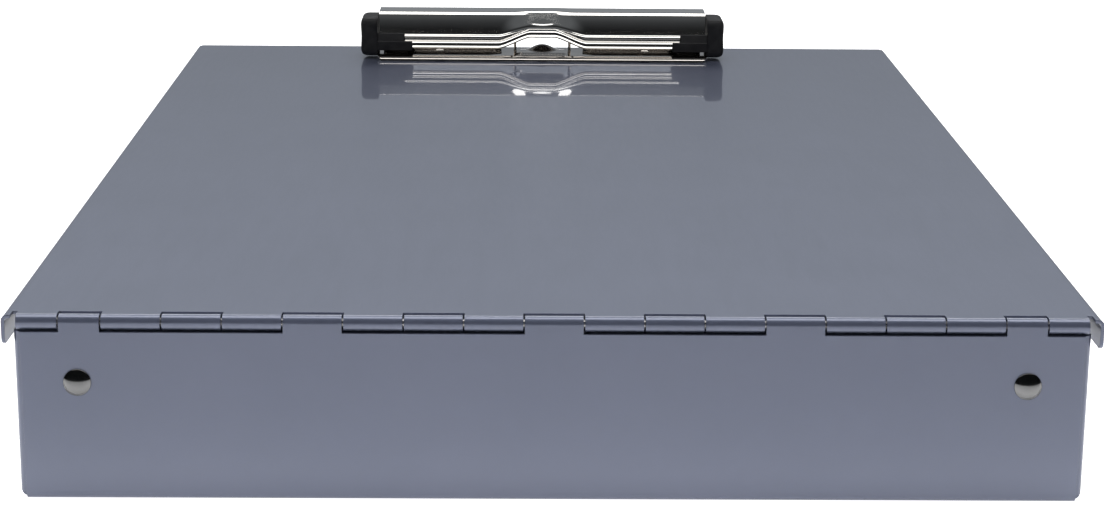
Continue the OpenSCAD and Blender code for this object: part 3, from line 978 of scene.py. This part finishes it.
@dataclass
class ClipPivot:
    """The pivot pin with its push-on retainers, and the torsion spring wound around it."""

    places: ClipPlaces
    wire: float = 1.1
    turns: float = 13.0
    clearance: float = 0.15
    leg: float = 4.55
    ear_x: float = 9.3
    per_turn: int = 20

    def make(self, pin: Material, retainer: Material, wire: Material) -> None:
        """Builds the pin, both retainers and the spring."""
        low, high = corners("clip_pivot_pin")
        length, radius, ease = high.x - low.x, (high.z - low.z) / 2, 0.3
        outline = [(0, length), (radius - ease, length), (radius - 0.08, length - 0.12),
                   (radius, length - ease), (radius, ease), (radius - 0.08, 0.12), (radius - ease, 0), (0, 0)]
        place = facing(Vector((low.x, self.places.pivot.y, self.places.pivot.z)), Vector((1, 0, 0)))
        rod = turned(outline, place, 32)
        add_piece("clip_pivot_rod", rod, Body.LID, pin, ["clip_pivot_pin"])
        for side in ("left", "right"):
            self.make_retainer(f"clip_pin_clip_{side}", radius, retainer)
        self.make_spring(radius, wire)

    def make_retainer(self, node: str, bore: float, finish: Material) -> None:
        """Builds one push-on retainer, slightly dished.

        Args:
            node: Its CAD node.
            bore: Radius of the pin.
            finish: Its material.
        """
        low, high = corners(node)
        outer, thick = (high.z - low.z) / 2, high.x - low.x
        outline = [(bore, thick), (bore + 0.3, thick), (outer - 0.3, thick - 0.2), (outer, thick - 0.35),
                   (outer, 0.1), (outer - 0.1, 0), (bore, 0), (bore, thick)]
        outwards = 1 if low.x > 0 else -1
        start = low.x if outwards > 0 else high.x
        place = facing(Vector((start, self.places.pivot.y, self.places.pivot.z)), Vector((outwards, 0, 0)))
        add_piece(node + "_disc", turned(outline, place, 32), Body.LID, finish, [node])

    def make_spring(self, pin_r: float, finish: Material) -> None:
        """Winds the spring as a round wire: a leg on the base plate, close turns, a leg under the tail."""
        centre = self.places.pivot
        radius = pin_r + self.clearance + self.wire / 2
        half = self.turns * self.wire / 2
        points = [(-self.ear_x, self.leg + 0.1, -radius), (-half - 0.5, self.leg, -radius),
                  (-half - 0.12, self.leg - 0.15, -radius), (-half, self.leg - 0.6, -radius),
                  (-half, self.leg / 2, -radius)]
        steps = int(self.turns * self.per_turn) + self.per_turn // 2
        for k in range(steps + 1):
            angle = -math.pi / 2 - 2 * math.pi * k / self.per_turn
            points.append((-half + 2 * half * k / steps, radius * math.cos(angle), radius * math.sin(angle)))
        points += [(half, 2.4, radius + 0.75), (half, 6.2, radius + 2.0)]
        curve = bpy.data.curves.new("clip_spring_wire", "CURVE")
        curve.dimensions = "3D"
        curve.bevel_depth = self.wire / 2 * MM * 0.97
        curve.bevel_resolution = 3
        curve.use_fill_caps = True
        spline = curve.splines.new("POLY")
        spline.points.add(len(points) - 1)
        for target, (x, y, z) in zip(spline.points, points):
            target.co = ((centre.x + x) * MM, (centre.y + y) * MM, (centre.z + z) * MM, 1)
        spline.use_smooth = True
        wound = bpy.data.objects.new("wound_wire", curve)
        mesh = bmesh.new()
        mesh.from_mesh(wound.to_mesh())
        bpy.data.objects.remove(wound)
        bpy.data.curves.remove(curve)
        bmesh.ops.remove_doubles(mesh, verts=mesh.verts, dist=1e-6)
        add_piece("clip_spring_wire", mesh, Body.LID, finish, ["clip_spring"])


@dataclass
class ClipLever:
    """The pressed cover: a stepped lip with an arch, a rib over the ridge, a tail, and two ears."""

    places: ClipPlaces
    gauge: float = 0.8
    edge: float = 0.16
    ear_x: float = 10.8
    ear_r: float = 2.55
    arch_top: float = 4.5
    arch_foot: Pair = (14.5, 10.0)
    section: Sequence[tuple[float, float, float]] = (
        # depth, height beside the arch, height at the arch's crest
        (2.90, 4.24, 8.09), (3.08, 4.47, 8.32), (3.28, 4.76, 8.61), (3.38, 5.00, 8.85),
        (3.41, 5.48, 9.30), (3.46, 5.62, 9.44), (3.72, 6.00, 9.78), (3.90, 6.13, 9.92),
        (4.15, 6.22, 10.05), (4.46, 6.31, 10.16), (4.58, 6.50, 10.24), (4.62, 7.00, 10.29),
        (4.65, 7.48, 10.34), (4.70, 7.62, 10.40), (4.93, 7.95, 10.52), (5.10, 8.07, 10.61),
        (5.40, 8.17, 10.77), (5.62, 8.24, 10.91), (5.80, 8.40, 11.08), (6.20, 8.81, 11.46),
        (6.42, 9.04, 11.59), (7.20, 9.84, 11.91), (8.20, 10.80, 12.32), (9.30, 11.76, 12.77),
        (10.40, 12.64, 13.23), (11.20, 13.22, 13.56), (11.90, 13.72, 13.85), (12.12, 13.87, 13.94),
        (12.24, 13.92, 13.99), (12.70, 14.09, 14.18), (13.40, 14.30, 14.47), (14.10, 14.51, 14.76),
        (14.60, 14.58, 14.90), (16.50, 14.63, 14.96), (19.00, 14.70, 14.98), (21.00, 14.76, 14.96),
        (22.30, 14.77, 14.88), (23.10, 14.62, 14.68), (23.65, 14.26, 14.28), (23.90, 13.82, 13.82),
        (23.98, 13.42, 13.42))
    stamp: tuple[float, float, float, float] = (7.1, 4.4, 1.45, 0.20)

    def make(self, finish: Material) -> None:
        """Builds the cover and its ears as one pressed piece."""
        mesh = self.cover_mesh()
        piece = add_piece("clip_lever_cover", mesh, Body.LEVER, finish, ["clip_lever"])
        add_subdivision(piece, 1)
        add_sheet_stack(piece, self.gauge, self.edge, False)
        ears = bmesh.new()
        for side in (-1, 1):
            merge_into(ears, self.ear_mesh(side))
        flaps = add_piece("clip_lever_ears", ears, Body.LEVER, finish, ["clip_lever"])
        add_sheet_stack(flaps, self.gauge, self.edge)

    def columns(self) -> list[float]:
        """Lists the cover's columns along X, close together over the arch."""
        half = [k * 0.9 for k in range(0, 18)] + [17.5, 21, 27, 34, 41, 48, 53, 54.8]
        half.append(self.places.half_width)
        return sorted({-x for x in half} | set(half))

    def cover_mesh(self) -> Mesh:
        """Builds the cover's outer face from its section and the arch's rise across it."""
        stamp_y, stamp_x, stamp_half, stamp_depth = self.stamp
        blank = SheetBlank()
        grid = []
        for y, z, crest in self.section:
            foot = self.arch_foot[0] + (self.arch_foot[1] - self.arch_foot[0]) * smooth_step(y, 6.0, 13.0)
            row = []
            for x in self.columns():
                ramp = min(1.0, max(0.0, (foot - abs(x)) / (foot - self.arch_top)))
                ramp = 0.35 * smooth_step(ramp, 0, 1) + 0.65 * ramp
                oval = math.hypot(x / stamp_x, (y - stamp_y) / stamp_half)
                dent = stamp_depth * (1 - smooth_step(oval, 0.25, 1.0))
                row.append(self.places.at(x, y + 0.5 * dent, z + (crest - z) * ramp - dent))
            grid.append(row)
        blank.strip(grid)
        return blank.weld((0, -0.3, 1))

    def ear_mesh(self, side: int) -> Mesh:
        """Builds one ear's outer face: a tongue down from the cover with a round end about the pin."""
        y, z = self.places.pivot.y, self.places.pivot.z
        outline = [(y - 3.0, self.places.deck + 12.2), (y - self.ear_r, z + 0.8)]
        outline += arc((y, z), self.ear_r, 180, 360, 16)
        outline += [(y + self.ear_r, z + 0.8), (y + 3.4, self.places.deck + 14.2)]
        outline.append((y, self.places.deck + 13.9))
        return flap(side * self.ear_x, outline)


@dataclass
class JawTips:
    """The two soft tips: a rounded cheek past the steel and a block that wraps the lip's end."""

    places: ClipPlaces
    out: float = 5.3
    reach_low: float = 11.6
    reach_high: float = 9.0
    cheek_low: float = 1.4
    cheek_high: float = 13.6
    cheek_near: float = 2.6
    cheek_far: float = 16.8
    waist: float = 0.25

    def make(self, finish: Material) -> None:
        """Builds both tips."""
        for side, name in ((-1, "left"), (1, "right")):
            mesh = self.cheek_mesh(side)
            piece = add_piece(f"jaw_tip_{name}_cheek", mesh, Body.LEVER, finish,
                              [f"jaw_tip_{name}"])
            add_subdivision(piece, 2)
            block = add_piece(f"jaw_tip_{name}_grip", self.grip_mesh(side), Body.LEVER, finish,
                              [f"jaw_tip_{name}"])
            add_edge_bevel(block, 0.3, True, 30)

    def cheek_mesh(self, side: int) -> Mesh:
        """Builds the cheek as a rounded cage: close rows near its edges keep it full."""
        inner, outer = self.places.half_width + 0.02, self.places.half_width + self.out
        low, high, near, far = self.cheek_low, self.cheek_high, self.cheek_near, self.cheek_far
        xs = [inner, inner + 0.3, outer - 3.0, outer + 0.55]
        ys = [near - 0.3, near + 2.6, (near + far) / 2, far - 2.6, far + 0.3]
        zs = [low - 0.3, low + 3.3, (low + high) / 2, high - 2.8, high + 0.45]
        mesh = bmesh.new()
        lattice: dict[tuple[int, int, int], bmesh.types.BMVert] = {}

        def vert(i: int, j: int, k: int) -> bmesh.types.BMVert:
            """Gives the lattice's vertex, made once."""
            if (i, j, k) not in lattice:
                waist = self.waist if i == len(xs) - 1 and k == 2 else 0.0
                place = self.places.at(side * (xs[i] - waist), ys[j], zs[k])
                lattice[(i, j, k)] = mesh.verts.new(Vector(place) * MM)
            return lattice[(i, j, k)]

        sizes = (len(xs) - 1, len(ys) - 1, len(zs) - 1)
        for axis in range(3):
            u, v = [a for a in range(3) if a != axis]
            for end in (0, sizes[axis]):
                for a in range(sizes[u]):
                    for b in range(sizes[v]):
                        quad = []
                        for da, db in ((0, 0), (1, 0), (1, 1), (0, 1)):
                            index = [0, 0, 0]
                            index[axis], index[u], index[v] = end, a + da, b + db
                            quad.append(vert(*index))
                        mesh.faces.new(quad)
        bmesh.ops.recalc_face_normals(mesh, faces=mesh.faces)
        return mesh

    def grip_mesh(self, side: int) -> Mesh:
        """Builds the block under and in front of the lip, shorter above the lip's step."""
        start = self.places.half_width + 0.3
        mesh = bmesh.new()
        lower = [(2.3, 3.1), (2.25, 6.3), (3.1, 6.3), (3.1, 4.15), (4.6, 4.15), (4.6, 5.6), (11.0, 5.6),
                 (11.0, 3.1)]
        upper = [(2.6, 6.0), (3.3, 8.95), (4.6, 8.7), (4.2, 8.2), (4.1, 6.0)]
        back = [(5.2, 5.0), (5.4, 8.0), (8.2, 10.2), (11.0, 10.2), (11.0, 5.0)]
        for outline, reach in ((lower, self.reach_low), (upper, self.reach_high), (back, self.reach_high)):
            ends = (side * start, side * (self.places.half_width - reach))
            rings = [[mesh.verts.new(Vector(self.places.at(x, y, z)) * MM) for y, z in outline] for x in ends]
            for k in range(len(outline)):
                mesh.faces.new((rings[0][k - 1], rings[0][k], rings[1][k], rings[1][k - 1]))
            mesh.faces.new(rings[0])
            mesh.faces.new(rings[1][::-1])
        bmesh.ops.recalc_face_normals(mesh, faces=mesh.faces)
        return mesh


# ---------------------------------------------------------------- studio


def wire(tree: bpy.types.NodeTree, *links: tuple[bpy.types.Node, str, bpy.types.Node, str | int]) -> None:
    """Links nodes, each link given as a node, its output, the next node and its input."""
    for source, output, target, into in links:
        tree.links.new(source.outputs[output], target.inputs[into])


@dataclass
class Studio:
    """A plain pale floor, soft light and the camera."""

    lens: float = 79.85
    ahead: float = 507.5
    aside: float = -8.0
    height: float = 190.8
    yaw: float = -0.83
    pitch: float = 14.85
    roll: float = 0.51
    glow_reach: float = 75.0
    glow_start: float = 5.0
    glow_levels: Pair = (0.14, 0.55)
    glow_seen: float = 0.42
    # name, place, aim, size, power and whether polished metal mirrors the light
    lights: Sequence[tuple[str, Point, Point, Pair, float, bool]] = (
        ("rear_softbox", (0.0, 1.14, 1.05), (0.0, 0.14, 0.05), (1.7, 0.38), 6.9, True),
        ("near_softbox", (0.0, -0.10, 0.5), (0.0, -0.10, 0.0), (0.9, 0.24), 2.0, True),
        ("front_left_fill", (-1.2, -1.7, 0.9), (0.0, -0.1, 0.02), (1.2, 1.0), 9.5, False),
        ("front_right_fill", (1.3, -1.6, 0.8), (0.0, -0.1, 0.02), (1.0, 0.9), 5.0, False),
        ("top_fill", (0.0, -0.1, 1.9), (0.0, 0.0, 0.0), (1.8, 1.8), 16.0, False))
    # the room's brightness by angle, from the far horizon overhead to the near one
    room: Sequence[Pair] = ((0, 0.25), (8, 0.25), (17, 0.33), (22, 0.14), (36, 0.10), (55, 0.14), (72, 0.13),
                            (88, 0.05), (100, 0.012), (172, 0.02), (180, 0.05))
    room_tint: Point = (0.94, 1.01, 1.09)

    def make(self) -> None:
        """Builds the whole studio."""
        self.make_camera()
        self.make_floor()
        self.make_world()
        for light in self.lights:
            self.make_light(*light)
        view = bpy.context.scene.view_settings
        view.view_transform = "Standard"
        view.look = "None"

    def make_camera(self) -> None:
        """Places the camera in front of the hinge end, above the lid."""
        hinge_end = corners("storage_tray")[0].y
        yaw, pitch, roll = (math.radians(a) for a in (self.yaw, self.pitch, self.roll))
        ahead = Vector((-math.sin(yaw), math.cos(yaw), 0))
        right0 = Vector((math.cos(yaw), math.sin(yaw), 0))
        up0 = math.sin(pitch) * ahead + math.cos(pitch) * Vector((0, 0, 1))
        look = math.cos(pitch) * ahead - math.sin(pitch) * Vector((0, 0, 1))
        right = math.cos(roll) * right0 + math.sin(roll) * up0
        up = math.cos(roll) * up0 - math.sin(roll) * right0
        data = bpy.data.cameras.new("camera")
        data.lens, data.sensor_width = self.lens, 36.0
        data.clip_start, data.clip_end = 0.02, 50.0
        camera = bpy.data.objects.new("camera", data)
        bpy.context.scene.collection.objects.link(camera)
        turn = Matrix((right, up, -look)).transposed().to_4x4()
        place = Vector((self.aside, hinge_end - self.ahead, self.height)) * MM
        camera.matrix_world = Matrix.Translation(place) @ turn
        bpy.context.scene.camera = camera

    def make_floor(self) -> None:
        """Lays the pale floor just under the tray."""
        mesh = bmesh.new()
        bmesh.ops.create_grid(mesh, x_segments=1, y_segments=1, size=12.0)
        data = bpy.data.meshes.new("floor")
        mesh.to_mesh(data)
        mesh.free()
        floor = bpy.data.objects.new("floor", data)
        floor.location.z = -0.0002
        bpy.context.scene.collection.objects.link(floor)
        bench = NodeBench("floor_paper")
        bench.tones(bench.noise(60.0, 2.0), (0.86, 0.86, 0.87), (0.88, 0.88, 0.885))
        bench.set(Roughness=0.9, Specular_IOR_Level=0.1, Emission_Color=(1, 1, 1, 1))
        self.glow(bench, corners("storage_tray")[0].y)
        data.materials.append(bench.material)

    def glow(self, bench: "NodeBench", wall: float) -> None:
        """Lets the floor glow: white to the eye, and brightest just in front of the tray's wall.

        Args:
            bench: The floor's node bench.
            wall: Y of the tray's front wall, in millimetres.
        """
        tree = bench.material.node_tree
        place = tree.nodes.new("ShaderNodeTexCoord")
        split = tree.nodes.new("ShaderNodeSeparateXYZ")
        fade = tree.nodes.new("ShaderNodeMapRange")
        fade.interpolation_type = "SMOOTHSTEP"
        fade.inputs["From Min"].default_value = (wall - self.glow_reach) * MM
        fade.inputs["From Max"].default_value = (wall - self.glow_start) * MM
        fade.inputs["To Min"].default_value, fade.inputs["To Max"].default_value = self.glow_levels
        path = tree.nodes.new("ShaderNodeLightPath")
        eye = tree.nodes.new("ShaderNodeMath")
        eye.operation = "MULTIPLY_ADD"
        eye.inputs[1].default_value = self.glow_seen
        shader = next(node for node in tree.nodes if node.type == "BSDF_PRINCIPLED")
        wire(tree, (place, "Object", split, "Vector"), (split, "Y", fade, "Value"),
             (path, "Is Camera Ray", eye, 0), (fade, "Result", eye, 2),
             (eye, "Value", shader, "Emission Strength"))

    def make_world(self) -> None:
        """Makes a white backdrop for the eye, and a room that is dim overhead for reflections."""
        world = bpy.data.worlds.new("studio_world")
        world.use_nodes = True
        bpy.context.scene.world = world
        tree = world.node_tree
        tree.nodes.clear()
        direction = tree.nodes.new("ShaderNodeTexCoord")
        split = tree.nodes.new("ShaderNodeSeparateXYZ")
        angle = tree.nodes.new("ShaderNodeMath")
        angle.operation = "ARCTAN2"
        share = tree.nodes.new("ShaderNodeMath")
        share.operation = "DIVIDE"
        share.inputs[1].default_value = math.pi
        ramp = tree.nodes.new("ShaderNodeValToRGB")
        stops = ramp.color_ramp.elements
        for k, (degrees, level) in enumerate(self.room):
            stop = stops[k] if k < 2 else stops.new(degrees / 180)
            stop.position = degrees / 180
            stop.color = (*(level * share_of for share_of in self.room_tint), 1)
        room = tree.nodes.new("ShaderNodeBackground")
        white = tree.nodes.new("ShaderNodeBackground")
        white.inputs["Color"].default_value = (1, 1, 1, 1)
        path = tree.nodes.new("ShaderNodeLightPath")
        mix = tree.nodes.new("ShaderNodeMixShader")
        out = tree.nodes.new("ShaderNodeOutputWorld")
        wire(tree, (direction, "Generated", split, "Vector"), (split, "Z", angle, 0), (split, "Y", angle, 1),
             (angle, "Value", share, 0), (share, "Value", ramp, "Fac"), (ramp, "Color", room, "Color"),
             (path, "Is Camera Ray", mix, "Fac"), (room, "Background", mix, 1), (white, "Background", mix, 2),
             (mix, "Shader", out, "Surface"))

    def make_light(self, name: str, place: Point, aim: Point, size: Pair, power: float, shows: bool) -> None:
        """Adds one soft rectangular light.

        Args:
            name: Name of the light.
            place: Its place, in metres.
            aim: The point that it faces.
            size: Width and height, in metres.
            power: Power in watts.
            shows: Whether polished metal mirrors it.
        """
        data = bpy.data.lights.new(name, "AREA")
        data.shape = "RECTANGLE"
        data.size, data.size_y = size
        data.energy = power
        light = bpy.data.objects.new(name, data)
        light.location = place
        light.rotation_mode = "QUATERNION"
        light.rotation_quaternion = (Vector(aim) - Vector(place)).to_track_quat("-Z", "Y")
        light.visible_glossy = shows
        light.visible_camera = False
        bpy.context.scene.collection.objects.link(light)


def main() -> None:
    """Builds the clipboard around the frame."""
    Studio().make()
    sheet = {name: CoatedAluminium(name).make() for name in ("tray_coat", "lid_coat", "divider_coat")}
    nickel = NickelPlate("bright_nickel").make()
    even = (1, 1, 1)
    satin = NickelPlate("satin_nickel", (0.56, 0.53, 0.48), (0.66, 0.62, 0.57), (0.10, 0.18), even).make()
    rod = DrawnSteel("drawn_rod").make()
    zinc = DrawnSteel("zinc_steel", (0.50, 0.51, 0.53), (0.62, 0.63, 0.65), (0.3, 0.42)).make()
    spring_wire = DrawnSteel("spring_wire", (0.25, 0.24, 0.23), (0.36, 0.35, 0.33), (0.2, 0.3)).make()
    # A darker, browner copy of the nickel for the base plate: painted shade that stands in for the dark
    # reflections under the lever.
    plate = NickelPlate("shaded_plate_nickel", (0.46, 0.43, 0.40), (0.52, 0.49, 0.46)).make()
    rubber = SoftRubber("black_rubber").make()
    # A much darker copy of the bright nickel for the tray's rivets: painted shade that dims what their domes
    # reflect.
    shaded_rivet_nickel = NickelPlate("shaded_tray_rivet_nickel", (0.19, 0.19, 0.19), (0.24, 0.24, 0.24), (0.12, 0.18), even).make()

    hinge = PianoHinge()
    StorageTray(hinge).make(sheet["tray_coat"], shaded_rivet_nickel, rod)
    DividerTray(hinge).make(sheet["divider_coat"], satin)
    Lid(hinge).make(sheet["lid_coat"])

    places = ClipPlaces()
    ClipBase(places).make(plate, satin, zinc)
    ClipPivot(places).make(rod, zinc, spring_wire)
    ClipLever(places).make(nickel)
    JawTips(places).make(rubber)


if __name__ == "__main__":
    logging.basicConfig(level=logging.INFO, format="%(name)s: %(message)s")
    main()
